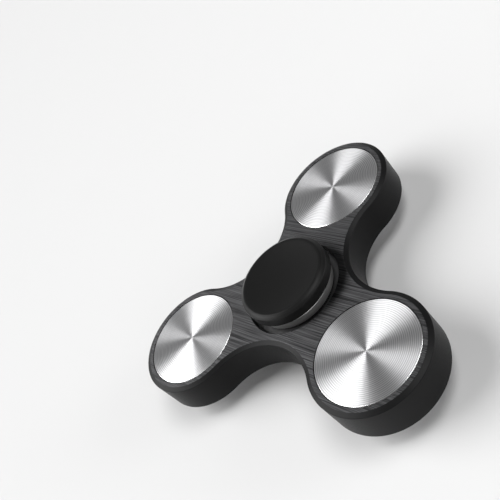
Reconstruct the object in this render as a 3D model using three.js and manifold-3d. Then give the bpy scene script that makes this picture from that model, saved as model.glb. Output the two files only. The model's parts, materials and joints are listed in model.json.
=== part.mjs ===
// Three-lobed fidget spinner with a removable bearing, retaining ring and two finger caps.
// Millimetres, +Z up along the spin axis, standing on the bottom cap at z = 0.
import * as THREE from "three";
import { mergeVertices } from "three/addons/utils/BufferGeometryUtils.js";
import Module from "manifold-3d";

const wasm = await Module();
wasm.setup();

// Driving sizes
const LOBE_PITCH = 30.0;         // spin axis to lobe centre
const LOBE_R = 14.8;             // outer radius of a lobe
const WAIST_R = 15.24;           // spin axis to the nearest point of a waist
const FRAME_T = 9.4;             // thickness of the frame
const BEVEL_W = 1.15;            // width of the shallow edge bevel, in plan
const BEVEL_H = 0.54;            // drop of that bevel
const DISC_R = 12.65;            // counterweight radius
const DISC_EDGE = 0.25;          // small chamfer round a counterweight
const BEARING_OD = 19.0;         // 607 bearing, 7 x 19 x 6
const BEARING_BORE = 7.0;
const BEARING_W = 6.0;
const BALLS = 10;
const BALL_D = 3.175;
const CAP_R = 11.7;              // finger cap
const CAP_BAND = 2.55;           // height of its plain side band
const CAP_CHAMFER_H = 0.75;
const CAP_CHAMFER_W = 1.1;       // width of the chamfer, in plan
const CAP_LAND_W = 0.5;          // flat land between the chamfer and the dish
const DISH_DEPTH = 0.85;
const LIP_T = 0.5;               // lip under the outer race
const LIP_IN = 0.7;              // how far the lip reaches under the outer race
const THREAD_H = 0.98;           // threaded part of the frame's bore, above the bearing
const THREAD_WALL = 0.4;         // thread crest in the frame beyond the outer race
const RECESS_W = 1.8;            // wide step at the mouth of the bore, beyond the flange
const FLANGE_OVER = 0.65;        // retaining ring's flange beyond its own thread
const FLANGE_H = 2.3;
const FLANGE_RISE = 0.7;         // underside of the flange above the step
const RING_LAP = 1.2;            // how far the ring reaches in over the outer race
const BOSS_LAP = 0.8;            // shoulder that bears on the inner race, beyond its bore
const BOSS_H = 1.68;
const STUD_R = 1.7;
const CAP_CLEAR_TOP = 0.8;       // top cap above the ring

// Clearances
const FACE_GAP = 0.02;           // between faces of different bodies
const PRESS_GAP = 0.02;          // radial, pressed or bonded pieces
const SLIDE_GAP = 0.03;          // radial, stem in bearing bore
const BALL_GAP = 0.07;           // ball to raceway
const CAGE_GAP = 0.3;            // cage to either race, radial
const THREAD_GAP = 0.05;         // crest to crest, so the ring also slides straight out

// Fits and heights that follow from the sizes above
const SEGS = 48;
const PAD_H = CAP_BAND + CAP_CHAMFER_H;
const RACE_Z0 = PAD_H + BOSS_H + FACE_GAP;
const RACE_Z1 = RACE_Z0 + BEARING_W;
const RACE_MID = (RACE_Z0 + RACE_Z1) / 2;
const LIP_Z = RACE_Z0 - FACE_GAP;
const FRAME_Z0 = LIP_Z - LIP_T;
const FRAME_Z1 = FRAME_Z0 + FRAME_T;
const LEDGE_Z = RACE_Z1 + THREAD_H;
const RING_Z0 = RACE_Z1 + FACE_GAP;
const FLANGE_Z0 = LEDGE_Z + FLANGE_RISE;
const RING_Z1 = FLANGE_Z0 + FLANGE_H;
const CAP_Z0 = Math.max(RING_Z1, FRAME_Z1) + CAP_CLEAR_TOP;
const RACE_OUT_R = BEARING_OD / 2;
const BORE_R = BEARING_BORE / 2;
const PITCH_R = (RACE_OUT_R + BORE_R) / 2;
const BALL_R = BALL_D / 2;
const GROOVE_R = BALL_R + BALL_GAP;
const LAND_OUT = 0.797 * RACE_OUT_R;
const LAND_IN = 0.5705 * RACE_OUT_R;
const THREAD_PITCH = 0.45;
const THREAD_DEPTH = 0.25;
const HOLE_CREST_R = RACE_OUT_R + THREAD_WALL;
const RING_CREST_R = HOLE_CREST_R - THREAD_GAP;
const RING_BORE_R = RACE_OUT_R - RING_LAP;
const FLANGE_R = RING_CREST_R + FLANGE_OVER;
const RECESS_R = FLANGE_R + RECESS_W;
const CAP_LAND_R = CAP_R - CAP_CHAMFER_W;
const DISH_R = CAP_LAND_R - CAP_LAND_W;
const BOSS_R = BORE_R + BOSS_LAP;
const STEM_R = BORE_R - SLIDE_GAP;
const COLLAR_R = 0.61 * BOSS_R;
const COLLAR_H = 0.6;
const STUD_TOP = PAD_H + BOSS_H + COLLAR_H + 1.7;
const STEM_Z0 = RACE_Z0 + 0.3;
const SOCKET_R = STUD_R + 0.1;
const MOUTH_R = COLLAR_R + 0.12;

const solidOf = (geometry) => {
  const g = geometry.clone();
  for (const key of ["normal", "uv"]) if (g.attributes[key]) g.deleteAttribute(key);
  const m = mergeVertices(g, 1e-5);
  const mesh = new wasm.Mesh({
    numProp: 3,
    vertProperties: new Float32Array(m.attributes.position.array),
    triVerts: new Uint32Array(m.index.array),
  });
  mesh.merge();
  return new wasm.Manifold(mesh);
};

const geometryOf = (solid) => {
  const mesh = solid.getMesh();
  const g = new THREE.BufferGeometry();
  g.setAttribute("position", new THREE.BufferAttribute(new Float32Array(mesh.vertProperties), 3));
  g.setIndex(new THREE.BufferAttribute(new Uint32Array(mesh.triVerts), 1));
  return g;
};

// Turned shape from a profile of [radius, height] points, listed so that the outside faces outwards.
const turned = (profile, segments = SEGS) => {
  const g = new THREE.LatheGeometry(profile.map(([r, z]) => new THREE.Vector2(r, z)), segments);
  g.rotateX(Math.PI / 2);
  return g;
};

const arc = (cr, cz, radius, from, to, steps) => Array.from({ length: steps + 1 }, (_, i) => {
  const a = THREE.MathUtils.degToRad(from + ((to - from) * i) / steps);
  return [cr + radius * Math.cos(a), cz + radius * Math.sin(a)];
});

const ridges = (crest, root, z0, z1, pitch) => {
  const count = Math.floor((z1 - z0) / pitch + 1e-6);
  const start = z0 + (z1 - z0 - count * pitch) / 2;
  const points = [];
  for (let i = 0; i < count; i += 1) {
    const z = start + i * pitch;
    points.push([root, z], [crest, z + pitch * 0.4], [crest, z + pitch * 0.6], [root, z + pitch * 0.98]);
  }
  return points;
};

const spinner = new THREE.Group();
spinner.name = "fidget_spinner";

const material = (color, roughness, metalness) => new THREE.MeshStandardMaterial({ color, roughness, metalness });
const put = (name, geometry, mat) => {
  const mesh = new THREE.Mesh(geometry, mat);
  mesh.name = name;
  spinner.add(mesh);
  return mesh;
};

const lobeAngles = [0, 1, 2].map((i) => (i * 2 * Math.PI) / 3);

// Frame: three lobes joined by tangent waists, shallow bevel on both faces
const waistArc = (LOBE_PITCH ** 2 + WAIST_R ** 2 - LOBE_PITCH * WAIST_R - LOBE_R ** 2)
  / (2 * LOBE_R + LOBE_PITCH - 2 * WAIST_R);
const waistCentre = WAIST_R + waistArc;
const outline = new THREE.Shape();
for (const a of lobeAngles) {
  const toWaist = Math.atan2(
    waistCentre * Math.sin(Math.PI / 3),
    waistCentre * Math.cos(Math.PI / 3) - LOBE_PITCH,
  );
  const half = Math.abs(toWaist);
  outline.absarc(LOBE_PITCH * Math.cos(a), LOBE_PITCH * Math.sin(a), LOBE_R, a - half, a + half, false);
  const w = a + Math.PI / 3;
  const back = Math.PI + half;
  outline.absarc(
    waistCentre * Math.cos(w), waistCentre * Math.sin(w), waistArc,
    a + back, w + Math.PI - (a + back - (w + Math.PI)), true,
  );
}
const plate = new THREE.ExtrudeGeometry(outline, {
  depth: FRAME_T - 2 * BEVEL_H,
  bevelEnabled: true,
  bevelThickness: BEVEL_H,
  bevelSize: BEVEL_W,
  bevelOffset: -BEVEL_W,
  bevelSegments: 1,
  curveSegments: 22,
});
plate.translate(0, 0, FRAME_Z0 + BEVEL_H);

const centreBore = turned([
  [0, FRAME_Z0 - 2],
  [RACE_OUT_R - LIP_IN, FRAME_Z0 - 2],
  [RACE_OUT_R - LIP_IN, LIP_Z],
  [RACE_OUT_R + PRESS_GAP, LIP_Z],
  [RACE_OUT_R + PRESS_GAP, RACE_Z1 + 0.05],
  [HOLE_CREST_R, RACE_Z1 + 0.05],
  ...ridges(HOLE_CREST_R + THREAD_DEPTH, HOLE_CREST_R, RACE_Z1 + 0.06, LEDGE_Z - 0.02, THREAD_PITCH),
  [HOLE_CREST_R, LEDGE_Z],
  [RECESS_R, LEDGE_Z],
  [RECESS_R, FRAME_Z1 - 0.2],
  [RECESS_R + 0.2, FRAME_Z1],
  [RECESS_R + 0.2, FRAME_Z1 + 2],
  [0, FRAME_Z1 + 2],
]);

let frame = solidOf(plate).subtract(solidOf(centreBore));
for (const a of lobeAngles) {
  const hole = turned([
    [0, FRAME_Z0 - 2],
    [DISC_R + PRESS_GAP, FRAME_Z0 - 2],
    [DISC_R + PRESS_GAP, FRAME_Z1 + 2],
    [0, FRAME_Z1 + 2],
  ]);
  hole.translate(LOBE_PITCH * Math.cos(a), LOBE_PITCH * Math.sin(a), 0);
  frame = frame.subtract(solidOf(hole));
}
put("frame", geometryOf(frame), material(0x17181a, 0.42, 0.85));

// Counterweights, flush with both faces
lobeAngles.forEach((a, i) => {
  const disc = turned([
    [0, FRAME_Z0],
    [DISC_R - DISC_EDGE, FRAME_Z0],
    [DISC_R, FRAME_Z0 + DISC_EDGE],
    [DISC_R, FRAME_Z1 - DISC_EDGE],
    [DISC_R - DISC_EDGE, FRAME_Z1],
    [0, FRAME_Z1],
  ]);
  disc.translate(LOBE_PITCH * Math.cos(a), LOBE_PITCH * Math.sin(a), 0);
  put(`weight_disc_${i + 1}`, disc, material(0xb9bcc0, 0.28, 1.0));
});

// Ball bearing: two grooved races, ten balls, crown cage opening upwards
const half = THREE.MathUtils.radToDeg(Math.acos((LAND_OUT - PITCH_R) / GROOVE_R));
const outerRace = [
  [RACE_OUT_R - 0.4, RACE_Z0],
  [RACE_OUT_R, RACE_Z0 + 0.4],
  [RACE_OUT_R, RACE_Z1 - 0.4],
  [RACE_OUT_R - 0.4, RACE_Z1],
  [LAND_OUT + 0.15, RACE_Z1],
  [LAND_OUT, RACE_Z1 - 0.15],
  ...arc(PITCH_R, RACE_MID, GROOVE_R, half, -half, 6),
  [LAND_OUT, RACE_Z0 + 0.15],
  [LAND_OUT + 0.15, RACE_Z0],
  [RACE_OUT_R - 0.4, RACE_Z0],
];
put("bearing_outer_race", turned(outerRace), material(0xdadcde, 0.16, 1.0));

const inHalf = THREE.MathUtils.radToDeg(Math.acos((PITCH_R - LAND_IN) / GROOVE_R));
const innerRace = [
  [LAND_IN - 0.15, RACE_Z0],
  [LAND_IN, RACE_Z0 + 0.15],
  ...arc(PITCH_R, RACE_MID, GROOVE_R, 180 + inHalf, 180 - inHalf, 6),
  [LAND_IN, RACE_Z1 - 0.15],
  [LAND_IN - 0.15, RACE_Z1],
  [BORE_R + 0.3, RACE_Z1],
  [BORE_R, RACE_Z1 - 0.3],
  [BORE_R, RACE_Z0 + 0.3],
  [BORE_R + 0.3, RACE_Z0],
  [LAND_IN - 0.15, RACE_Z0],
];
put("bearing_inner_race", turned(innerRace), material(0xdadcde, 0.16, 1.0));

const cageIn = LAND_IN + CAGE_GAP;
const cageOut = LAND_OUT - CAGE_GAP;
let cage = solidOf(turned([
  [cageOut, RACE_MID - BALL_R - 0.75],
  [cageOut, RACE_MID + 0.45],
  [cageIn, RACE_MID + 0.45],
  [cageIn, RACE_MID - BALL_R - 0.75],
  [cageOut, RACE_MID - BALL_R - 0.75],
]));
for (let i = 0; i < BALLS; i += 1) {
  const a = (i * 2 * Math.PI) / BALLS;
  const pocket = new THREE.SphereGeometry(BALL_R + 0.12, 16, 10);
  pocket.translate(PITCH_R * Math.cos(a), PITCH_R * Math.sin(a), RACE_MID);
  cage = cage.subtract(solidOf(pocket));
}
put("bearing_cage", geometryOf(cage), material(0x6d6f72, 0.4, 1.0));

for (let i = 0; i < BALLS; i += 1) {
  const a = (i * 2 * Math.PI) / BALLS;
  const ball = new THREE.SphereGeometry(BALL_R, 16, 9);
  ball.translate(PITCH_R * Math.cos(a), PITCH_R * Math.sin(a), RACE_MID);
  put(`bearing_ball_${i + 1}`, ball, material(0xe8eaec, 0.08, 1.0));
}

// Retaining ring: flange, undercut and fine thread that clamp the outer race
const neckR = RING_CREST_R - THREAD_DEPTH - 0.1;
const threadTop = FLANGE_Z0 - 0.35;
const ring = [
  [RING_BORE_R + 0.2, RING_Z0],
  ...ridges(RING_CREST_R, RING_CREST_R - THREAD_DEPTH, RING_Z0 + 0.02, threadTop, THREAD_PITCH),
  [neckR, threadTop + 0.03],
  [neckR, FLANGE_Z0],
  [FLANGE_R - 0.15, FLANGE_Z0],
  [FLANGE_R, FLANGE_Z0 + 0.15],
  [FLANGE_R, RING_Z1 - 0.25],
  [FLANGE_R - 0.25, RING_Z1],
  [RING_BORE_R + 0.45, RING_Z1],
  [RING_BORE_R, RING_Z1 - 0.3],
  [RING_BORE_R, RING_Z0 + 0.2],
  [RING_BORE_R + 0.2, RING_Z0],
];
put("retaining_ring", turned(ring), material(0xc9cbcd, 0.3, 1.0));

// Finger caps: dished pad, land, chamfer and side band
const dishRadius = (DISH_R ** 2 + DISH_DEPTH ** 2) / (2 * DISH_DEPTH);
const dish = (z, up) => Array.from({ length: 8 }, (_, i) => {
  const r = (DISH_R * i) / 7;
  return [r, z + up * (dishRadius - DISH_DEPTH - Math.sqrt(dishRadius ** 2 - r ** 2))];
});

const topZ = CAP_Z0 + PAD_H;
const topCap = [
  [0, STUD_TOP + 0.4],
  [SOCKET_R, STUD_TOP + 0.4],
  [SOCKET_R, STEM_Z0 + COLLAR_H + 0.1],
  [MOUTH_R, STEM_Z0 + COLLAR_H + 0.1],
  [MOUTH_R, STEM_Z0],
  [STEM_R - 0.25, STEM_Z0],
  [STEM_R, STEM_Z0 + 0.25],
  [STEM_R, RACE_Z1 + FACE_GAP],
  [BOSS_R, RACE_Z1 + FACE_GAP],
  [BOSS_R, CAP_Z0],
  [CAP_R - 0.2, CAP_Z0],
  [CAP_R, CAP_Z0 + 0.2],
  [CAP_R, topZ - CAP_CHAMFER_H],
  [CAP_LAND_R, topZ],
  ...dish(topZ, 1).reverse(),
];
put("top_cap", turned(topCap), material(0x101113, 0.38, 0.8));

const bottomCap = [
  ...dish(0, -1),
  [CAP_LAND_R, 0],
  [CAP_R, CAP_CHAMFER_H],
  [CAP_R, PAD_H - 0.2],
  [CAP_R - 0.2, PAD_H],
  [BOSS_R, PAD_H],
  [BOSS_R, PAD_H + BOSS_H - 0.12],
  [BOSS_R - 0.12, PAD_H + BOSS_H],
  [COLLAR_R, PAD_H + BOSS_H],
  [COLLAR_R, PAD_H + BOSS_H + COLLAR_H - 0.1],
  [COLLAR_R - 0.1, PAD_H + BOSS_H + COLLAR_H],
  [STUD_R, PAD_H + BOSS_H + COLLAR_H],
  [STUD_R, STUD_TOP - 0.3],
  [STUD_R - 0.3, STUD_TOP],
  [0, STUD_TOP],
];
put("bottom_cap", turned(bottomCap), material(0x101113, 0.38, 0.8));

export default spinner;
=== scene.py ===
import json
import math

import bmesh
import bpy
from mathutils import Matrix, Vector

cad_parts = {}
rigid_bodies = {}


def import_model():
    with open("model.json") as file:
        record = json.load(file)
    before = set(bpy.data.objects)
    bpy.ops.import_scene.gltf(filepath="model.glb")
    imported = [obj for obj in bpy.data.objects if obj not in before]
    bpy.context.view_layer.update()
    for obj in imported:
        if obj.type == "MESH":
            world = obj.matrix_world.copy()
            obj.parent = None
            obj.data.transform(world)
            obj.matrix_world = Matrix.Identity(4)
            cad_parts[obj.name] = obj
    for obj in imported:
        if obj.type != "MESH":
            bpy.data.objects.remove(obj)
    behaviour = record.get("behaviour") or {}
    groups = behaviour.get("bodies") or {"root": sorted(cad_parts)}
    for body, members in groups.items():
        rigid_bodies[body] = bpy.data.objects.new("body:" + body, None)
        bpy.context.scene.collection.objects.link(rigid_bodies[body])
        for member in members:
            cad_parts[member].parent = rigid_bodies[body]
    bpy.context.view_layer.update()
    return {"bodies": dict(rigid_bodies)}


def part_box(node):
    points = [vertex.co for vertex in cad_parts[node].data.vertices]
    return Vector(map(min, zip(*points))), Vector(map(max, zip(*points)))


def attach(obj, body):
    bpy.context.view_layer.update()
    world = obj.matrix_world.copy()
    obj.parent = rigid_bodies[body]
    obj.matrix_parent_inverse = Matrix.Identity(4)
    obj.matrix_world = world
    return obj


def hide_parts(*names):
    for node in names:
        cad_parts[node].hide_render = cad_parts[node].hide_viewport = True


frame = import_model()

MM = 0.001

# Frame
# One plate of aluminium milled to three round lobes with waists between them, both faces eased
# by a shallow bevel. It is brushed straight across and then anodised black.
plate_low, plate_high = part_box("frame")
lobe_low, lobe_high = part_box("weight_disc_1")
race_low, race_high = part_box("bearing_outer_race")
LOBE_PITCH = (lobe_low.x + lobe_high.x) / 2
WEIGHT_R = (lobe_high.x - lobe_low.x) / 2
LOBE_R = plate_high.x - LOBE_PITCH
RACE_R = race_high.x
WAIST_R = 15.24 * MM
BEVEL_W = 1.15 * MM
BEVEL_H = 0.54 * MM
RIM_EASE = 0.1 * MM
PRESS_GAP = 0.02 * MM
LIP_IN = 0.7 * MM
RECESS_R = 12.3 * MM
RECESS_DEPTH = 1.9 * MM
MOUTH_BREAK = 0.25 * MM
THREAD_PITCH = 0.45 * MM
THREAD_DEPTH = 0.25 * MM
SEAT_TOP = 0.05 * MM
THREAD_START = 0.06 * MM
THREAD_RISE, THREAD_FALL, THREAD_END = 0.4, 0.6, 0.98
HOLE_CREST_R = RACE_R + 0.4 * MM
OVERSHOOT = 2.0 * MM
SIDES = 160
LOBE_STEPS = 118
WAIST_STEPS = 58
OUTLINE_WELD = 0.01 * MM
TURNED_WELD = 0.0002 * MM
EASE_SHARE = 0.42
LEAST_EASE = 0.004 * MM
SHARP_CORNER = 32
FLAT_WEIGHT = 70
LEVEL = 0.95
CRISP, NEAT, KEEN = 0.04 * MM, 0.05 * MM, 0.06 * MM
BROKEN, EASED, SOFT, ROUND = 0.08 * MM, 0.1 * MM, 0.12 * MM, 0.15 * MM
LOBE_TURNS = [i * 2 * math.pi / 3 for i in range(3)]


def done():
    """Back to object mode."""
    bpy.ops.object.mode_set(mode="OBJECT")


def pick(piece, kind, test):
    """Selects the faces, edges or verts that pass a test, and nothing else, on a piece in edit mode."""
    bpy.ops.mesh.select_all(action="DESELECT")
    bpy.ops.mesh.select_mode(type={"faces": "FACE", "edges": "EDGE", "verts": "VERT"}[kind])
    mesh = bmesh.from_edit_mesh(piece.data)
    for item in getattr(mesh, kind):
        if test(item):
            item.select_set(True)
    mesh.select_flush_mode()
    bmesh.update_edit_mesh(piece.data)


def point_to_draw_from(name, place):
    """A mesh of one vertex, open in edit mode."""
    bpy.ops.object.select_all(action="DESELECT")
    bpy.ops.mesh.primitive_plane_add(size=MM)
    piece = bpy.context.object
    piece.name = piece.data.name = name
    bpy.ops.object.mode_set(mode="EDIT")
    bpy.ops.mesh.select_mode(type="VERT")
    bpy.ops.mesh.select_all(action="SELECT")
    bpy.ops.mesh.merge(type="CENTER")
    bpy.ops.transform.translate(value=place)
    return piece


def eased(profile, closed):
    """A profile of (radius, height, ease) points with each corner rounded by its ease."""
    points, count = [], len(profile)
    for i, (r, z, ease) in enumerate(profile):
        if not closed and i in (0, count - 1):
            points.append((r, z))
            continue
        corner = Vector((r, z))
        before = Vector(profile[i - 1][:2]) - corner
        after = Vector(profile[(i + 1) % count][:2]) - corner
        reach = min(ease, EASE_SHARE * before.length, EASE_SHARE * after.length)
        if reach < LEAST_EASE:
            points.append((r, z))
            continue
        a, b = corner + before.normalized() * reach, corner + after.normalized() * reach
        for t in (0, 1 / 3, 2 / 3, 1):
            p = a * (1 - t) ** 2 + corner * 2 * t * (1 - t) + b * t ** 2
            points.append((p.x, p.y))
    return points


def drawn_out(rise):
    """Extrudes what is selected straight up or down."""
    bpy.ops.mesh.extrude_region_move(TRANSFORM_OT_translate={"value": (0, 0, rise)})


def turned(name, profile, closed=False):
    """A lathe-turned solid: a circle drawn out ring by ring along the profile.

    A closed profile makes a ring. An open one starts and ends on the axis.
    """
    points = eased(profile, closed)
    rings = points if closed else points[1:-1]
    bpy.ops.object.select_all(action="DESELECT")
    bpy.ops.mesh.primitive_circle_add(vertices=SIDES, radius=rings[0][0], fill_type="NOTHING")
    piece = bpy.context.object
    piece.name = piece.data.name = name
    bpy.ops.object.mode_set(mode="EDIT")
    bpy.ops.mesh.select_mode(type="VERT")
    bpy.ops.mesh.select_all(action="SELECT")
    bpy.ops.transform.translate(value=(0, 0, rings[0][1]))
    if not closed:
        drawn_out(points[0][1] - rings[0][1])
        bpy.ops.mesh.merge(type="CENTER")
        pick(piece, "verts", lambda v: v.co.xy.length > rings[0][0] / 2)
    for (r, z), (r_next, z_next) in zip(rings, rings[1:] + rings[:1] if closed else rings[1:]):
        drawn_out(z_next - z)
        k = r_next / r
        bpy.ops.transform.resize(value=(k, k, 1), center_override=(0, 0, z_next))
    if not closed:
        drawn_out(points[-1][1] - rings[-1][1])
        bpy.ops.mesh.merge(type="CENTER")
    bpy.ops.mesh.select_all(action="SELECT")
    bpy.ops.mesh.remove_doubles(threshold=TURNED_WELD)
    bpy.ops.mesh.normals_make_consistent(inside=False)
    done()
    return piece


def ridges(crest, root, low, high, pitch):
    """The profile of as many whole thread ridges as fit between two heights, centred."""
    count = int((high - low) / pitch + 1e-6)
    start = low + (high - low - count * pitch) / 2
    points = []
    for i in range(count):
        z = start + i * pitch
        points += [(root, z, 0), (crest, z + THREAD_RISE * pitch, 0)]
        points += [(crest, z + THREAD_FALL * pitch, 0), (root, z + THREAD_END * pitch, 0)]
    return points


def cut(piece, tool):
    """Takes the tool's solid out of the piece."""
    bpy.ops.object.select_all(action="DESELECT")
    bpy.context.view_layer.objects.active = piece
    piece.select_set(True)
    bite = piece.modifiers.new("bite", "BOOLEAN")
    bite.operation = "DIFFERENCE"
    bite.solver = "EXACT"
    bite.object = tool
    bpy.ops.object.modifier_apply(modifier=bite.name)
    bpy.data.objects.remove(tool)


def moved_to(piece, x, y, z=0.0):
    """Moves a piece's mesh, so that its object stays at the origin."""
    piece.data.transform(Matrix.Translation((x, y, z)))
    piece.data.update()


def copied_to(piece, x, y, z=0.0):
    """A copy of a piece, with its own mesh, in another place."""
    twin = piece.copy()
    twin.data = piece.data.copy()
    bpy.context.collection.objects.link(twin)
    moved_to(twin, x, y, z)
    return twin


def smooth(piece):
    """Smooth shading with hard corners kept and flat faces left flat."""
    bpy.ops.object.select_all(action="DESELECT")
    bpy.context.view_layer.objects.active = piece
    piece.select_set(True)
    bpy.ops.object.shade_smooth_by_angle(angle=math.radians(SHARP_CORNER))
    flat = piece.modifiers.new("flat", "WEIGHTED_NORMAL")
    flat.keep_sharp = True
    flat.weight = FLAT_WEIGHT
    bpy.ops.object.modifier_apply(modifier=flat.name)


# The outline is six arcs, each waist meeting its two lobes without a corner.
waist_arc = (LOBE_PITCH**2 + WAIST_R**2 - LOBE_PITCH * WAIST_R - LOBE_R**2) / (
    2 * LOBE_R + LOBE_PITCH - 2 * WAIST_R)
waist_centre = WAIST_R + waist_arc
half = math.atan2(
    waist_centre * math.sin(math.pi / 3), waist_centre * math.cos(math.pi / 3) - LOBE_PITCH)
start = Vector((LOBE_PITCH + LOBE_R * math.cos(-half), LOBE_R * math.sin(-half), plate_low.z + BEVEL_H))
body = point_to_draw_from("spinner_frame", start)
for turn in LOBE_TURNS:
    lobe = (LOBE_PITCH * math.cos(turn), LOBE_PITCH * math.sin(turn), start.z)
    waist_turn = turn + math.pi / 3
    waist = (waist_centre * math.cos(waist_turn), waist_centre * math.sin(waist_turn), start.z)
    bpy.ops.mesh.spin(steps=LOBE_STEPS, angle=-2 * half, center=lobe, axis=(0, 0, 1))
    bpy.ops.mesh.spin(
        steps=WAIST_STEPS, angle=2 * half - 2 * math.pi / 3, center=waist, axis=(0, 0, 1))
bpy.ops.mesh.select_all(action="SELECT")
bpy.ops.mesh.remove_doubles(threshold=OUTLINE_WELD)
bpy.ops.mesh.edge_face_add()
bpy.ops.mesh.normals_make_consistent(inside=False)
drawn_out(plate_high.z - plate_low.z - 2 * BEVEL_H)
bpy.ops.mesh.select_all(action="SELECT")
bpy.ops.mesh.normals_make_consistent(inside=False)
for side in (1, -1):
    pick(body, "faces", lambda f: f.normal.z * side > LEVEL)
    bpy.ops.mesh.inset(thickness=BEVEL_W, depth=BEVEL_H)
pick(body, "edges", lambda e: len(e.link_faces) == 2 and e.calc_face_angle() > math.radians(20))
bpy.ops.mesh.bevel(offset=RIM_EASE, segments=3, affect="EDGES")
done()
for turn in LOBE_TURNS:
    pocket = turned("pocket", [
        (0, plate_low.z - OVERSHOOT, 0),
        (WEIGHT_R + PRESS_GAP, plate_low.z - OVERSHOOT, 0),
        (WEIGHT_R + PRESS_GAP, plate_high.z + OVERSHOOT, 0),
        (0, plate_high.z + OVERSHOOT, 0),
    ])
    moved_to(pocket, LOBE_PITCH * math.cos(turn), LOBE_PITCH * math.sin(turn))
    cut(body, pocket)

# The bore from below: a lip, the bearing's seat, a fine thread, and the ledge and recess on top.
ledge_z = plate_high.z - RECESS_DEPTH
cut(body, turned("bore", [
    (0, plate_low.z - OVERSHOOT, 0),
    (RACE_R - LIP_IN, plate_low.z - OVERSHOOT, 0),
    (RACE_R - LIP_IN, race_low.z - PRESS_GAP, BROKEN),
    (RACE_R + PRESS_GAP, race_low.z - PRESS_GAP, 0),
    (RACE_R + PRESS_GAP, race_high.z + SEAT_TOP, 0),
    (HOLE_CREST_R, race_high.z + SEAT_TOP, 0),
    *ridges(HOLE_CREST_R + THREAD_DEPTH, HOLE_CREST_R,
            race_high.z + THREAD_START, ledge_z - PRESS_GAP, THREAD_PITCH),
    (HOLE_CREST_R, ledge_z, BROKEN),
    (RECESS_R, ledge_z, 0),
    (RECESS_R, plate_high.z - MOUTH_BREAK, KEEN),
    (RECESS_R + MOUTH_BREAK, plate_high.z, 0),
    (RECESS_R + MOUTH_BREAK, plate_high.z + OVERSHOOT, 0),
    (0, plate_high.z + OVERSHOOT, 0),
]))
smooth(body)


def new_material(name, base, metallic, roughness):
    """A material with its shader, and the finish's plain values on it."""
    material = bpy.data.materials.new(name)
    material.use_nodes = True
    shader = material.node_tree.nodes["Principled BSDF"]
    shader.inputs["Base Color"].default_value = (*base, 1)
    shader.inputs["Metallic"].default_value = metallic
    shader.inputs["Roughness"].default_value = roughness
    return material, material.node_tree.nodes, material.node_tree.links, shader


def new_group(name, inputs, outputs):
    """An empty node group with named sockets."""
    group = bpy.data.node_groups.new(name, "ShaderNodeTree")
    for label, kind, value in inputs:
        socket = group.interface.new_socket(label, in_out="INPUT", socket_type=kind)
        if value is not None:
            socket.default_value = value
    for label in outputs:
        group.interface.new_socket(label, in_out="OUTPUT", socket_type="NodeSocketFloat")
    entry = group.nodes.new("NodeGroupInput")
    leave = group.nodes.new("NodeGroupOutput")
    return group, entry, leave


def noise(nodes, dimensions, scale, detail, rough=0.5):
    """A noise texture node."""
    node = nodes.new("ShaderNodeTexNoise")
    node.noise_dimensions = dimensions
    node.inputs["Scale"].default_value = scale
    node.inputs["Detail"].default_value = detail
    node.inputs["Roughness"].default_value = rough
    return node


def arithmetic(nodes, links, operation, *values):
    """A maths node on sockets or numbers."""
    node = nodes.new("ShaderNodeMath")
    node.operation = operation
    for i, value in enumerate(values):
        if hasattr(value, "is_linked"):
            links.new(value, node.inputs[i])
        else:
            node.inputs[i].default_value = value
    return node.outputs[0]


def ramp(nodes, links, factor, low, high, dark, light):
    """A value between dark and light as the factor goes from low to high."""
    node = nodes.new("ShaderNodeMapRange")
    links.new(factor, node.inputs["Value"])
    for label, value in (("From Min", low), ("From Max", high), ("To Min", dark), ("To Max", light)):
        node.inputs[label].default_value = value
    return node.outputs["Result"]


def tint(nodes, links, factor, dark, light):
    """A colour between two as the factor goes from 0 to 1."""
    node = nodes.new("ShaderNodeMix")
    node.data_type = "RGBA"
    links.new(factor, node.inputs["Factor"])
    node.inputs["A"].default_value = (*dark, 1)
    node.inputs["B"].default_value = (*light, 1)
    return node.outputs["Result"]


def place_on(nodes, links, location=(0, 0, 0), turn=0.0):
    """Object coordinates, centred and turned for a pattern."""
    coordinates = nodes.new("ShaderNodeTexCoord")
    mapping = nodes.new("ShaderNodeMapping")
    mapping.vector_type = "TEXTURE"
    mapping.inputs["Location"].default_value = location
    mapping.inputs["Rotation"].default_value = (0, 0, turn)
    links.new(coordinates.outputs["Object"], mapping.inputs["Vector"])
    return mapping.outputs["Vector"]


def relief(nodes, links, shader, height, distance):
    """A bump of a real height on the shader's normal."""
    node = nodes.new("ShaderNodeBump")
    node.inputs["Distance"].default_value = distance
    node.inputs["Strength"].default_value = 1.0
    links.new(height, node.inputs["Height"])
    links.new(node.outputs["Normal"], shader.inputs["Normal"])


# Long scratches along X: a coarse set that the eye reads as lines and a fine set between them.
SCRATCH_STRETCH = 0.011
COARSE_SCRATCHES, FINE_SCRATCHES = 4000, 8500
COARSE_SHARE = 0.75
straight_grain, entry, leave = new_group(
    "straight_grain", [("Place", "NodeSocketVector", None)], ["Tone", "Height"])
nodes, links = straight_grain.nodes, straight_grain.links
stretch = nodes.new("ShaderNodeVectorMath")
stretch.operation = "MULTIPLY"
stretch.inputs[1].default_value = (SCRATCH_STRETCH, 1.0, 1.0)
links.new(entry.outputs["Place"], stretch.inputs[0])
coarse = noise(nodes, "2D", COARSE_SCRATCHES, 2, 0.6)
fine = noise(nodes, "2D", FINE_SCRATCHES, 1)
for node in (coarse, fine):
    links.new(stretch.outputs[0], node.inputs["Vector"])
lines = arithmetic(nodes, links, "MULTIPLY_ADD", coarse.outputs["Fac"], COARSE_SHARE, 0.0)
both = arithmetic(
    nodes, links, "MULTIPLY_ADD", fine.outputs["Fac"], 1 - COARSE_SHARE, lines)
links.new(ramp(nodes, links, both, 0.36, 0.64, 0.0, 1.0), leave.inputs["Tone"])
links.new(both, leave.inputs["Height"])

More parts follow.
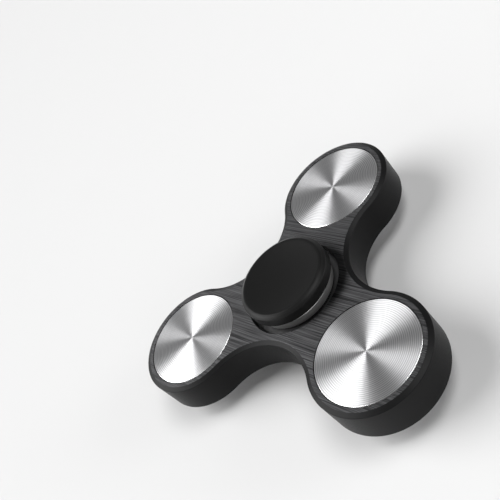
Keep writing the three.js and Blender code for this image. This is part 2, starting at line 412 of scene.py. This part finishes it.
# Brushed metal spreads a highlight across its scratches. Here it is spread within 10 degrees of
# square to the grain, along a flat map laid on the plate.
GRAIN_TURN = math.radians(18)
SPREAD_TURN = math.radians(-62)
ANODISED_DARK = (0.010, 0.010, 0.0105)
ANODISED_LIGHT = (0.062, 0.062, 0.064)
ANODISED_RELIEF = 0.08 * MM
MAP_UNIT = 10 * MM
across_grain = body.data.uv_layers.new(name="across_grain")
for loop in body.data.loops:
    x, y = body.data.vertices[loop.vertex_index].co.xy / MAP_UNIT
    across_grain.uv[loop.index].vector = (
        x * math.cos(SPREAD_TURN) + y * math.sin(SPREAD_TURN),
        y * math.cos(SPREAD_TURN) - x * math.sin(SPREAD_TURN))
black_anodised, nodes, links, shader = new_material("black_anodised", ANODISED_LIGHT, 0.9, 0.4)
shader.inputs["Anisotropic"].default_value = 1.0
tangent = nodes.new("ShaderNodeTangent")
tangent.direction_type = "UV_MAP"
tangent.uv_map = across_grain.name
links.new(tangent.outputs["Tangent"], shader.inputs["Tangent"])
grain = nodes.new("ShaderNodeGroup")
grain.node_tree = straight_grain
links.new(place_on(nodes, links, turn=GRAIN_TURN), grain.inputs["Place"])
links.new(tint(nodes, links, grain.outputs["Tone"], ANODISED_DARK, ANODISED_LIGHT),
          shader.inputs["Base Color"])
links.new(ramp(nodes, links, grain.outputs["Tone"], 0, 1, 0.46, 0.36), shader.inputs["Roughness"])
relief(nodes, links, shader, grain.outputs["Height"], ANODISED_RELIEF)

# The walls, bevels and bore are milled and blasted, and so a deeper black.
BLAST_GRAIN = 3800
BLAST_RELIEF = 0.004 * MM
blasted_black, nodes, links, shader = new_material(
    "blasted_black", (0.005, 0.005, 0.005), 0.0, 0.42)
shader.inputs["Specular IOR Level"].default_value = 0.11
blasting = noise(nodes, "3D", BLAST_GRAIN, 3)
links.new(place_on(nodes, links), blasting.inputs["Vector"])
links.new(tint(nodes, links, blasting.outputs["Fac"], (0.003, 0.003, 0.003), (0.007, 0.007, 0.0075)),
          shader.inputs["Base Color"])
links.new(ramp(nodes, links, blasting.outputs["Fac"], 0.3, 0.7, 0.36, 0.46), shader.inputs["Roughness"])
relief(nodes, links, shader, blasting.outputs["Fac"], BLAST_RELIEF)

# The ledge that the ring's flange sits over is painted a shade greyer, as painted light on an upward
# face.
LEDGE_GRAIN = 2400
LEDGE_RELIEF = 0.002 * MM
ledge_painted_light, nodes, links, shader = new_material("ledge_painted_light", (0.045, 0.045, 0.046), 0.0, 0.45)
ledge_noise = noise(nodes, "3D", LEDGE_GRAIN, 2)
links.new(place_on(nodes, links), ledge_noise.inputs["Vector"])
links.new(tint(nodes, links, ledge_noise.outputs["Fac"], (0.034, 0.034, 0.035), (0.056, 0.056, 0.057)),
          shader.inputs["Base Color"])
relief(nodes, links, shader, ledge_noise.outputs["Fac"], LEDGE_RELIEF)
for finish in (black_anodised, blasted_black, ledge_painted_light):
    body.data.materials.append(finish)
for face in body.data.polygons:
    z = face.center.z
    level_face = abs(face.normal.z) > LEVEL
    if level_face and min(abs(z - plate_low.z), abs(z - plate_high.z)) < RIM_EASE:
        face.material_index = 0
    # The ledge gets the painted light.
    elif level_face and abs(z - ledge_z) < RIM_EASE:
        face.material_index = 2
    else:
        face.material_index = 1
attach(body, "frame")
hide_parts("frame")

# Counterweights
# Three solid steel discs pressed into the lobes, flush with both faces. Each face is turned in
# fine rings that split the light into fans, and the rim has a narrow bright chamfer.
WEIGHT_EASE = 0.25 * MM
SPUN_MARKS = (0.45 * MM, 0.010 * MM)
RIM_MARKS = (0.1 * MM, 0.0005 * MM)
RIPPLE = 0.3
WANDER = 2.3

# Fine circular marks left by a turning tool, round the Z axis through Place. A piece's marks are
# given by their pitch and their depth.
turning_marks, entry, leave = new_group("turning_marks", [
    ("Place", "NodeSocketVector", None), ("Pitch", "NodeSocketFloat", 0.4 * MM)], ["Tone", "Height"])
nodes, links = turning_marks.nodes, turning_marks.links
split = nodes.new("ShaderNodeSeparateXYZ")
links.new(entry.outputs["Place"], split.inputs[0])
across = arithmetic(nodes, links, "MULTIPLY", split.outputs["X"], split.outputs["X"])
across = arithmetic(nodes, links, "MULTIPLY_ADD", split.outputs["Y"], split.outputs["Y"], across)
radius = arithmetic(nodes, links, "SQRT", across)
along = arithmetic(nodes, links, "ADD", radius, split.outputs["Z"])
turns = arithmetic(nodes, links, "DIVIDE", along, entry.outputs["Pitch"])
wave = arithmetic(nodes, links, "SINE", arithmetic(nodes, links, "MULTIPLY", turns, 2 * math.pi))
uneven = noise(nodes, "1D", WANDER, 2)
links.new(turns, uneven.inputs["W"])
mixed = arithmetic(nodes, links, "MULTIPLY_ADD", wave, RIPPLE, uneven.outputs["Fac"])
links.new(ramp(nodes, links, mixed, 0.1, 0.9, 0.0, 1.0), leave.inputs["Tone"])
links.new(mixed, leave.inputs["Height"])


def turned_finish(name, dark, light, metallic, smooth_r, rough_r, pitch, depth, centre=(0, 0, 0)):
    """A finish with turning marks round one upright axis, and its shader for further values."""
    material, nodes, links, shader = new_material(name, light, metallic, rough_r)
    marks = nodes.new("ShaderNodeGroup")
    marks.node_tree = turning_marks
    marks.inputs["Pitch"].default_value = pitch
    links.new(place_on(nodes, links, location=centre), marks.inputs["Place"])
    links.new(tint(nodes, links, marks.outputs["Tone"], dark, light), shader.inputs["Base Color"])
    links.new(ramp(nodes, links, marks.outputs["Tone"], 0, 1, rough_r, smooth_r),
              shader.inputs["Roughness"])
    relief(nodes, links, shader, marks.outputs["Height"], depth)
    return material, shader


weight = turned("weight_disc", [
    (0, lobe_low.z, 0),
    (WEIGHT_R - WEIGHT_EASE, lobe_low.z, CRISP),
    (WEIGHT_R, lobe_low.z + WEIGHT_EASE, NEAT),
    (WEIGHT_R, lobe_high.z - WEIGHT_EASE, NEAT),
    (WEIGHT_R - WEIGHT_EASE, lobe_high.z, CRISP),
    (0, lobe_high.z, 0),
])
smooth(weight)
rim_steel, _ = turned_finish(
    "rim_steel", (0.75, 0.75, 0.76), (0.9, 0.9, 0.9), 1.0, 0.16, 0.24, *RIM_MARKS)
for i, turn in enumerate(LOBE_TURNS):
    centre = (LOBE_PITCH * math.cos(turn), LOBE_PITCH * math.sin(turn), 0)
    disc = copied_to(weight, *centre)
    disc.name = disc.data.name = f"spun_weight_{i + 1}"
    spun_steel, shader = turned_finish(
        f"spun_steel_{i + 1}", (0.46, 0.46, 0.47), (0.82, 0.82, 0.83), 0.92, 0.33, 0.42,
        *SPUN_MARKS, centre)
    shader.inputs["Anisotropic"].default_value = 0.95
    shader.inputs["Anisotropic Rotation"].default_value = 0.25
    disc.data.materials.append(spun_steel)
    disc.data.materials.append(rim_steel)
    for face in disc.data.polygons:
        face.material_index = 0 if abs(face.normal.z) > LEVEL else 1
    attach(disc, "frame")
    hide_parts(f"weight_disc_{i + 1}")
bpy.data.objects.remove(weight)

# Bearing races
# Two hardened steel rings with a ball groove between them, their corners broken all round. The
# outer one is a slide fit in the frame's bore.
inner_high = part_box("bearing_inner_race")[1]
ball_low, ball_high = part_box("bearing_ball_1")
BORE_R = 3.5 * MM
BALL_R = 3.175 / 2 * MM
BALL_GAP = 0.07 * MM
RACE_CORNER = 0.4 * MM
BORE_CORNER = 0.3 * MM
LAND_CORNER = 0.15 * MM
OUTER_LAND = 0.797
GROOVE_STEPS = 12
FACING_UP = 0.5
GROUND_MARKS = (0.12 * MM, 0.0006 * MM)
GROOVE_MARKS = (0.15 * MM, 0.001 * MM)
pitch_r = (RACE_R + BORE_R) / 2
race_mid = (race_low.z + race_high.z) / 2
groove_r = BALL_R + BALL_GAP
land_out = OUTER_LAND * RACE_R
land_in = inner_high.x


def groove(first, last):
    """The round bottom of a ball groove, between two angles in degrees."""
    step = (last - first) / GROOVE_STEPS
    angles = [math.radians(first + step * i) for i in range(GROOVE_STEPS + 1)]
    return [(pitch_r + groove_r * math.cos(a), race_mid + groove_r * math.sin(a), 0) for a in angles]


reach = math.degrees(math.acos((land_out - pitch_r) / groove_r))
outer_race = turned("outer_race", [
    (RACE_R - RACE_CORNER, race_low.z, SOFT),
    (RACE_R, race_low.z + RACE_CORNER, SOFT),
    (RACE_R, race_high.z - RACE_CORNER, SOFT),
    (RACE_R - RACE_CORNER, race_high.z, SOFT),
    (land_out + LAND_CORNER, race_high.z, NEAT),
    (land_out, race_high.z - LAND_CORNER, NEAT),
    *groove(reach, -reach),
    (land_out, race_low.z + LAND_CORNER, NEAT),
    (land_out + LAND_CORNER, race_low.z, NEAT),
], closed=True)
reach = math.degrees(math.acos((pitch_r - land_in) / groove_r))
inner_race = turned("inner_race", [
    (land_in - LAND_CORNER, race_low.z, NEAT),
    (land_in, race_low.z + LAND_CORNER, NEAT),
    *groove(180 + reach, 180 - reach),
    (land_in, race_high.z - LAND_CORNER, NEAT),
    (land_in - LAND_CORNER, race_high.z, NEAT),
    (BORE_R + BORE_CORNER, race_high.z, BROKEN),
    (BORE_R, race_high.z - BORE_CORNER, BROKEN),
    (BORE_R, race_low.z + BORE_CORNER, BROKEN),
    (BORE_R + BORE_CORNER, race_low.z, BROKEN),
], closed=True)
# Painted sheen on the bright faces; painted shade in the slightly duller rim, dark bore and nearly
# black groove.
race_steel, _ = turned_finish(
    "race_steel", (0.88, 0.88, 0.89), (0.96, 0.96, 0.97), 0.6, 0.28, 0.36, *GROUND_MARKS)
groove_painted_shade, _ = turned_finish(
    "groove_painted_shade", (0.035, 0.035, 0.036), (0.09, 0.09, 0.092), 1.0, 0.26, 0.36, *GROOVE_MARKS)
rim_painted_shade, _ = turned_finish(
    "rim_painted_shade", (0.66, 0.66, 0.67), (0.76, 0.76, 0.77), 1.0, 0.26, 0.34, *GROUND_MARKS)
bore_painted_shade, _ = turned_finish(
    "bore_painted_shade", (0.17, 0.17, 0.175), (0.25, 0.25, 0.255), 1.0, 0.28, 0.36, *GROUND_MARKS)
for race, node in ((outer_race, "bearing_outer_race"), (inner_race, "bearing_inner_race")):
    smooth(race)
    for finish in (race_steel, groove_painted_shade, rim_painted_shade, bore_painted_shade):
        race.data.materials.append(finish)
    for face in race.data.polygons:
        middle = face.center.xy.length
        between_lands = land_in - OUTLINE_WELD < middle < land_out + OUTLINE_WELD
        # Groove faces get the nearly black painted shade, level faces the painted sheen, rim and bore
        # the painted shade.
        if between_lands or (
                abs(middle - pitch_r) < groove_r and abs(face.normal.z) < LEVEL):
            face.material_index = 1
        elif abs(face.normal.z) > FACING_UP:
            face.material_index = 0
        else:
            face.material_index = 2 if middle > pitch_r else 3
    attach(race, "outer_race" if race is outer_race else "inner_race")
    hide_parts(node)

# Balls
# Ten lapped steel balls, evenly spaced in the groove and all alike. The cage keeps them apart,
# and they carry the outer race round the inner one.
BALLS = 10
BALL_CUTS = 15
LAPPING_GRAIN = 2600
ball_centre = (ball_low + ball_high) / 2
ball_phase = math.atan2(ball_centre.y, ball_centre.x)
bpy.ops.object.select_all(action="DESELECT")
bpy.ops.mesh.primitive_cube_add(size=2 * BALL_R)
first_ball = bpy.context.object
bpy.ops.object.mode_set(mode="EDIT")
bpy.ops.mesh.select_all(action="SELECT")
bpy.ops.mesh.subdivide(number_cuts=BALL_CUTS)
done()
rounding = first_ball.modifiers.new("rounding", "CAST")
rounding.cast_type = "SPHERE"
rounding.factor = 1
rounding.use_radius_as_size = False
rounding.size = BALL_R
bpy.ops.object.modifier_apply(modifier=rounding.name)
bpy.ops.object.shade_smooth()
ball_steel, nodes, links, shader = new_material("ball_steel", (0.6, 0.61, 0.62), 1.0, 0.07)
lapping = noise(nodes, "3D", LAPPING_GRAIN, 3)
links.new(place_on(nodes, links), lapping.inputs["Vector"])
links.new(ramp(nodes, links, lapping.outputs["Fac"], 0.3, 0.7, 0.05, 0.11), shader.inputs["Roughness"])
links.new(tint(nodes, links, lapping.outputs["Fac"], (0.52, 0.53, 0.54), (0.68, 0.69, 0.70)),
          shader.inputs["Base Color"])


def ball_place(i):
    """The centre of one ball on the pitch circle."""
    a = ball_phase + 2 * math.pi * i / BALLS
    return pitch_r * math.cos(a), pitch_r * math.sin(a), race_mid


for i in range(BALLS):
    ball = copied_to(first_ball, *ball_place(i))
    ball.name = ball.data.name = f"lapped_ball_{i + 1}"
    ball.data.materials.append(ball_steel)
    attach(ball, "cage")
    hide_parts(f"bearing_ball_{i + 1}")

# Cage
# A crown of thin steel that keeps the balls apart, painted dark as painted shade in the groove. Its
# pockets open upwards, so it is snapped over the balls from below.
CAGE_GAP = 0.3 * MM
CAGE_BACK = 0.75 * MM
CAGE_CROWN = 0.45 * MM
CAGE_MARKS = (0.2 * MM, 0.002 * MM)
POCKET_R = BALL_R + 0.12 * MM
cage = turned("crown_cage", [
    (land_out - CAGE_GAP, race_mid - BALL_R - CAGE_BACK, EASED),
    (land_out - CAGE_GAP, race_mid + CAGE_CROWN, EASED),
    (land_in + CAGE_GAP, race_mid + CAGE_CROWN, EASED),
    (land_in + CAGE_GAP, race_mid - BALL_R - CAGE_BACK, EASED),
], closed=True)
first_ball.data.transform(Matrix.Scale(POCKET_R / BALL_R, 4))
for i in range(BALLS):
    cut(cage, copied_to(first_ball, *ball_place(i)))
smooth(cage)
bpy.data.objects.remove(first_ball)
# The cage's dark steel is painted shade.
cage_steel, _ = turned_finish(
    "cage_steel", (0.03, 0.03, 0.032), (0.07, 0.07, 0.072), 1.0, 0.36, 0.46, *CAGE_MARKS)
cage.data.materials.append(cage_steel)
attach(cage, "cage")
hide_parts("bearing_cage")

# Retaining ring
# A satin steel ring screwed into the frame over the bearing. Its flange stands just above the
# frame's face, with an undercut and a fine thread below. The roots of the thread are painted dark, as
# painted shade.
ring_low, ring_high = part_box("retaining_ring")
FLANGE_R = ring_high.x
FLANGE_H = 2.3 * MM
FLANGE_CORNER = 0.15 * MM
FLANGE_BREAK = 0.25 * MM
UNDERCUT_H = 0.35 * MM
UNDERCUT_IN = 0.1 * MM
RING_BORE_R = 8.3 * MM
RING_MOUTH = 0.45 * MM
RING_MOUTH_H = 0.3 * MM
RING_FOOT = 0.2 * MM
THREAD_CLEARANCE = 0.05 * MM
ROOT_IN = 0.6 * MM
ROOT_SHARE = 0.4
RING_MARKS = (0.14 * MM, 0.0012 * MM)
ring_crest = HOLE_CREST_R - THREAD_CLEARANCE
neck_r = ring_crest - THREAD_DEPTH - UNDERCUT_IN
flange_z = ring_high.z - FLANGE_H
thread_low = ring_low.z + PRESS_GAP
thread_top = flange_z - UNDERCUT_H
ring = turned("threaded_ring", [
    (RING_BORE_R + RING_FOOT, ring_low.z, NEAT),
    *ridges(ring_crest, ring_crest - THREAD_DEPTH, thread_low, thread_top, THREAD_PITCH),
    (neck_r, thread_top + 0.03 * MM, 0),
    (neck_r, flange_z, NEAT),
    (FLANGE_R - FLANGE_CORNER, flange_z, NEAT),
    (FLANGE_R, flange_z + FLANGE_CORNER, NEAT),
    (FLANGE_R, ring_high.z - FLANGE_BREAK, EASED),
    (FLANGE_R - FLANGE_BREAK, ring_high.z, EASED),
    (RING_BORE_R + RING_MOUTH, ring_high.z, BROKEN),
    (RING_BORE_R, ring_high.z - RING_MOUTH_H, BROKEN),
    (RING_BORE_R, ring_low.z + RING_FOOT, NEAT),
], closed=True)
smooth(ring)
ring_metal, _ = turned_finish(
    "ring_metal", (0.50, 0.50, 0.495), (0.66, 0.66, 0.655), 0.9, 0.33, 0.42, *RING_MARKS)
ring.data.materials.append(ring_metal)
# The thread roots are painted dark as painted shade.
thread_root_painted_shade, _ = turned_finish(
    "thread_root_painted_shade", (0.05, 0.05, 0.05), (0.12, 0.12, 0.12), 1.0, 0.4, 0.5, *RING_MARKS)
ring.data.materials.append(thread_root_painted_shade)
for face in ring.data.polygons:
    middle = face.center.xy.length
    in_painted_root_shade = RING_BORE_R + ROOT_IN < middle < ring_crest - ROOT_SHARE * THREAD_DEPTH
    face.material_index = 1 if in_painted_root_shade and thread_low < face.center.z < flange_z else 0
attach(ring, "retaining_ring")
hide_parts("retaining_ring")

# Bottom cap
# A finger pad turned from aluminium and anodised black. Its shoulder bears on the inner race,
# and a collar and a stud on top plug into the top cap's stem.
pad_low, pad_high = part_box("bottom_cap")
CAP_R = pad_high.x
CAP_BAND = 2.55 * MM
CAP_CHAMFER_H = 0.75 * MM
CAP_LAND_R = 10.6 * MM
DISH_R = 10.1 * MM
DISH_DEPTH = 0.85 * MM
BOSS_R = 4.3 * MM
BOSS_H = 1.68 * MM
COLLAR_R = 0.61 * BOSS_R
COLLAR_H = 0.6 * MM
STUD_R = 1.7 * MM
CAP_BREAK = 0.2 * MM
BOSS_BREAK = 0.12 * MM
COLLAR_BREAK = 0.1 * MM
STUD_BREAK = 0.3 * MM
DISH_STEPS = 16
CAP_MARKS = (0.25 * MM, 0.0015 * MM)
pad_h = CAP_BAND + CAP_CHAMFER_H
dish_radius = (DISH_R**2 + DISH_DEPTH**2) / (2 * DISH_DEPTH)


def dish(edge_z, up):
    """The finger dish from its centre out to its edge: a shallow part of a sphere."""
    points = []
    for i in range(DISH_STEPS + 1):
        r = DISH_R * i / DISH_STEPS
        drop = dish_radius - DISH_DEPTH - math.sqrt(dish_radius**2 - r**2)
        points.append((r, edge_z + up * drop, 0))
    points[-1] = (points[-1][0], points[-1][1], SOFT)
    return points


boss_z = pad_low.z + pad_h + BOSS_H
bottom_cap = turned("bottom_finger_cap", [
    *dish(pad_low.z, -1),
    (CAP_LAND_R, pad_low.z, ROUND),
    (CAP_R, pad_low.z + CAP_CHAMFER_H, ROUND),
    (CAP_R, pad_low.z + pad_h - CAP_BREAK, BROKEN),
    (CAP_R - CAP_BREAK, pad_low.z + pad_h, BROKEN),
    (BOSS_R, pad_low.z + pad_h, ROUND),
    (BOSS_R, boss_z - BOSS_BREAK, NEAT),
    (BOSS_R - BOSS_BREAK, boss_z, NEAT),
    (COLLAR_R, boss_z, NEAT),
    (COLLAR_R, boss_z + COLLAR_H - COLLAR_BREAK, CRISP),
    (COLLAR_R - COLLAR_BREAK, boss_z + COLLAR_H, CRISP),
    (STUD_R, boss_z + COLLAR_H, NEAT),
    (STUD_R, pad_high.z - STUD_BREAK, KEEN),
    (STUD_R - STUD_BREAK, pad_high.z, KEEN),
    (0, pad_high.z, 0),
])
smooth(bottom_cap)
black_cap, shader = turned_finish(
    "black_cap", (0.006, 0.006, 0.006), (0.010, 0.010, 0.010), 0.0, 0.34, 0.42, *CAP_MARKS)
shader.inputs["Specular IOR Level"].default_value = 0.11
bottom_cap.data.materials.append(black_cap)
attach(bottom_cap, "bottom_cap")
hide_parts("bottom_cap")

# Top cap
# The matching finger pad. Its hollow stem drops through the inner race and takes the stud, so
# the two caps pinch the race between their shoulders.
cap_low, cap_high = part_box("top_cap")
STEM_GAP = 0.03 * MM
SOCKET_GAP = 0.1 * MM
SOCKET_ROOM = 0.4 * MM
MOUTH_GAP = 0.12 * MM
STEM_R = BORE_R - STEM_GAP
STEM_BREAK = 0.25 * MM
SHOULDER_GAP = 0.02 * MM
SOCKET_R = STUD_R + SOCKET_GAP
MOUTH_R = COLLAR_R + MOUTH_GAP
socket_top = pad_high.z + SOCKET_ROOM
mouth_top = cap_low.z + COLLAR_H + SOCKET_GAP
top_cap = turned("top_finger_cap", [
    (0, socket_top, 0),
    (SOCKET_R, socket_top, NEAT),
    (SOCKET_R, mouth_top, CRISP),
    (MOUTH_R, mouth_top, CRISP),
    (MOUTH_R, cap_low.z, NEAT),
    (STEM_R - STEM_BREAK, cap_low.z, KEEN),
    (STEM_R, cap_low.z + STEM_BREAK, KEEN),
    (STEM_R, race_high.z + SHOULDER_GAP, NEAT),
    (BOSS_R, race_high.z + SHOULDER_GAP, BROKEN),
    (BOSS_R, cap_high.z - pad_h, ROUND),
    (CAP_R - CAP_BREAK, cap_high.z - pad_h, BROKEN),
    (CAP_R, cap_high.z - pad_h + CAP_BREAK, BROKEN),
    (CAP_R, cap_high.z - CAP_CHAMFER_H, ROUND),
    (CAP_LAND_R, cap_high.z, ROUND),
    *reversed(dish(cap_high.z, 1)),
])
smooth(top_cap)
top_cap.data.materials.append(black_cap)
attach(top_cap, "top_cap")
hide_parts("top_cap")

# Floor, camera and lights
# A wide pale floor, a camera over the near lobe that keeps with the frame, and soft lights.
FLOOR_HALF = 4.0
bpy.ops.object.select_all(action="DESELECT")
bpy.ops.mesh.primitive_plane_add(size=2 * FLOOR_HALF)
floor = bpy.context.object
floor.name = floor.data.name = "floor"
pale_floor, nodes, links, shader = new_material("pale_floor", (0.66, 0.66, 0.66), 0.0, 0.9)
shader.inputs["Specular IOR Level"].default_value = 0.0
floor.data.materials.append(pale_floor)

CAMERA_PLACE = Vector((135.64, -5.77, 133.15)) * MM
CAMERA_TURN = -2.15
CAMERA_DROP = 37.05
CAMERA_ROLL = 45.72
CAMERA_LENS = 54.9
SENSOR_WIDTH = 36
CLIP_NEAR, CLIP_FAR = 0.005, 20
look = Vector((
    -math.cos(math.radians(CAMERA_TURN)) * math.cos(math.radians(CAMERA_DROP)),
    -math.sin(math.radians(CAMERA_TURN)) * math.cos(math.radians(CAMERA_DROP)),
    -math.sin(math.radians(CAMERA_DROP)),
))
level = look.to_track_quat("-Z", "Y").to_matrix()
camera_data = bpy.data.cameras.new("camera")
camera_data.lens = CAMERA_LENS
camera_data.sensor_width = SENSOR_WIDTH
camera_data.clip_start = CLIP_NEAR
camera_data.clip_end = CLIP_FAR
camera = bpy.data.objects.new("camera", camera_data)
bpy.context.collection.objects.link(camera)
camera.matrix_world = Matrix.Translation(CAMERA_PLACE) @ (
    level @ Matrix.Rotation(math.radians(-CAMERA_ROLL), 3, "Z")).to_4x4()
follow = camera.constraints.new("CHILD_OF")
follow.target = frame["bodies"]["frame"]
for axis in "xyz":
    setattr(follow, f"use_rotation_{axis}", False)
    setattr(follow, f"use_scale_{axis}", False)
follow.inverse_matrix = Matrix.Identity(4)
bpy.context.scene.camera = camera

LIGHT_DISTANCE = 0.9
PANEL_SIZE = 0.44


def soft_light(kind, name, toward, power):
    """A light in a direction from the object, turned to face it."""
    data = bpy.data.lights.new(name, kind)
    data.energy = power
    light = bpy.data.objects.new(name, data)
    bpy.context.collection.objects.link(light)
    direction = Vector(toward).normalized()
    light.location = direction * LIGHT_DISTANCE
    light.rotation_mode = "QUATERNION"
    light.rotation_quaternion = direction.to_track_quat("Z", "Y")
    return data


# Two wide lights as far away as the sky, so the floor is even, and three panels near the floor.
for name, toward, power, spread in (
        ("key", (-0.46, -0.60, 0.65), 3.3, 50),
        ("fill", (0.12, 0.32, 0.94), 1.45, 32)):
    soft_light("SUN", name, toward, power).angle = math.radians(spread)
for name, toward, power in (
        ("right", (0.46, 0.86, 0.25), 3.0),
        ("left", (0.24, -0.96, 0.25), 1.5),
        ("front", (0.95, -0.10, 0.25), 0.8)):
    soft_light("AREA", name, toward, power).size = PANEL_SIZE

# The sky is bright at the horizon and dark overhead, which keeps the black faces black.
SKY_OVERHEAD = 0.07
SKY_HORIZON = 0.95
SKY_REACH = 0.75
world = bpy.data.worlds.new("studio")
bpy.context.scene.world = world
world.use_nodes = True
nodes, links = world.node_tree.nodes, world.node_tree.links
background = nodes["Background"]
coordinates = nodes.new("ShaderNodeTexCoord")
split = nodes.new("ShaderNodeSeparateXYZ")
links.new(coordinates.outputs["Generated"], split.inputs[0])
nearness = ramp(nodes, links, split.outputs["Z"], 0.0, SKY_REACH, 1.0, 0.0)
sky = arithmetic(
    nodes, links, "MULTIPLY_ADD", arithmetic(nodes, links, "POWER", nearness, 2.0),
    SKY_HORIZON - SKY_OVERHEAD, SKY_OVERHEAD)
links.new(tint(nodes, links, sky, (0, 0, 0), (1, 1, 1)), background.inputs["Color"])
bpy.context.scene.view_settings.view_transform = "Standard"
